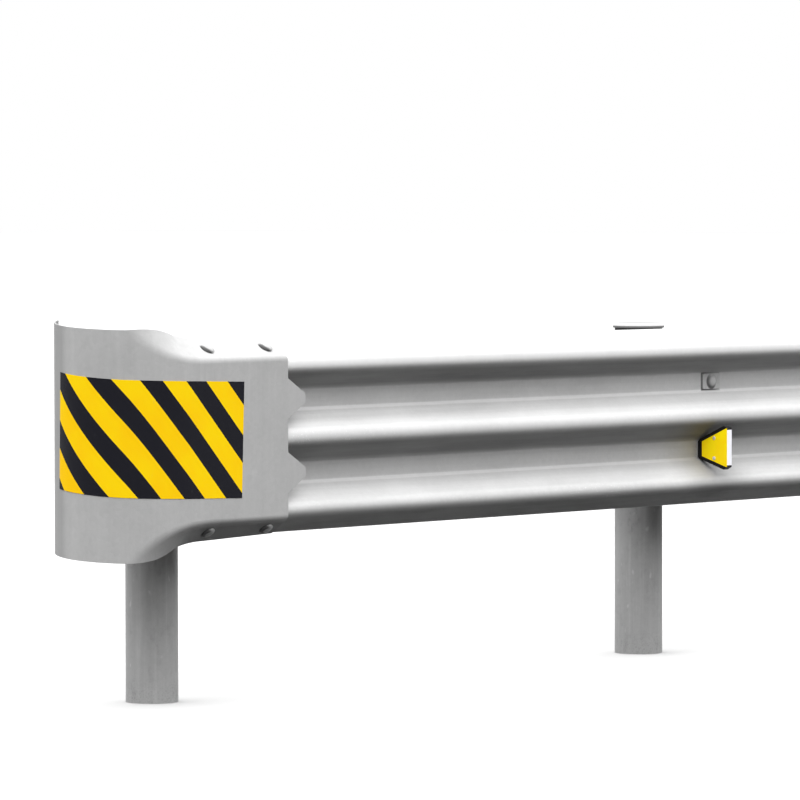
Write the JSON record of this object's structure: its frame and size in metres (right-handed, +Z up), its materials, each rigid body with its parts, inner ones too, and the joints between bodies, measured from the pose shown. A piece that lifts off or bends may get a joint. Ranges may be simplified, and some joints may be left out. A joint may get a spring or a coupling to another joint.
{
  "type": "highway guardrail section",
  "caption": "Three-wave steel guardrail on round posts with box block-outs, ending in a rounded nose plate with a striped marking; boards bolt on at the open end.",
  "frame": {"origin": "centre of the first post's foot, at ground level under the terminal", "axes": "+X along the rail away from the terminal, +Y away from the road, +Z up"},
  "size_m": [8.5739, 0.476, 1.015],
  "materials": {
    "rail_zinc": "hot-dip galvanised, satin",
    "terminal_zinc": "hot-dip galvanised, matt",
    "post_steel": "hot-dip galvanised, matt",
    "cap_steel": "hot-dip galvanised, matt",
    "bolt_zinc": "zinc plated",
    "marking_sheet": "reflective sheeting with black diagonal stripes",
    "yellow_sheet": "reflective sheeting",
    "white_sheet": "reflective sheeting",
    "dark_plastic": "moulded, matt"
  },
  "bodies": {
    "root": {"post_1": "post_steel", "post_2": "post_steel", "post_3": "post_steel", "post_4": "post_steel", "post_5": "post_steel", "post_cap_1": "cap_steel", "post_cap_2": "cap_steel", "post_cap_3": "cap_steel", "post_cap_4": "cap_steel", "post_cap_5": "cap_steel", "blockout_1": "post_steel", "blockout_2": "post_steel", "blockout_3": "post_steel", "blockout_4": "post_steel", "blockout_5": "post_steel", "bolt_plates_1": "bolt_zinc", "bolt_plates_2": "bolt_zinc", "bolt_plates_3": "bolt_zinc", "bolt_plates_4": "bolt_zinc", "bolt_plates_5": "bolt_zinc", "rail_bolts_1": "bolt_zinc", "rail_bolts_2": "bolt_zinc", "rail_bolts_3": "bolt_zinc", "rail_bolts_4": "bolt_zinc", "rail_bolts_5": "bolt_zinc", "post_bolts_1": "bolt_zinc", "post_bolts_2": "bolt_zinc", "post_bolts_3": "bolt_zinc", "post_bolts_4": "bolt_zinc", "post_bolts_5": "bolt_zinc", "rail_board_1": "rail_zinc", "rail_board_2": "rail_zinc", "terminal_end": "terminal_zinc", "terminal_marking": "marking_sheet", "delineator_body": "dark_plastic", "delineator_face": "yellow_sheet", "delineator_strip": "white_sheet", "delineator_foot": "bolt_zinc"}
  },
  "joints": []
}
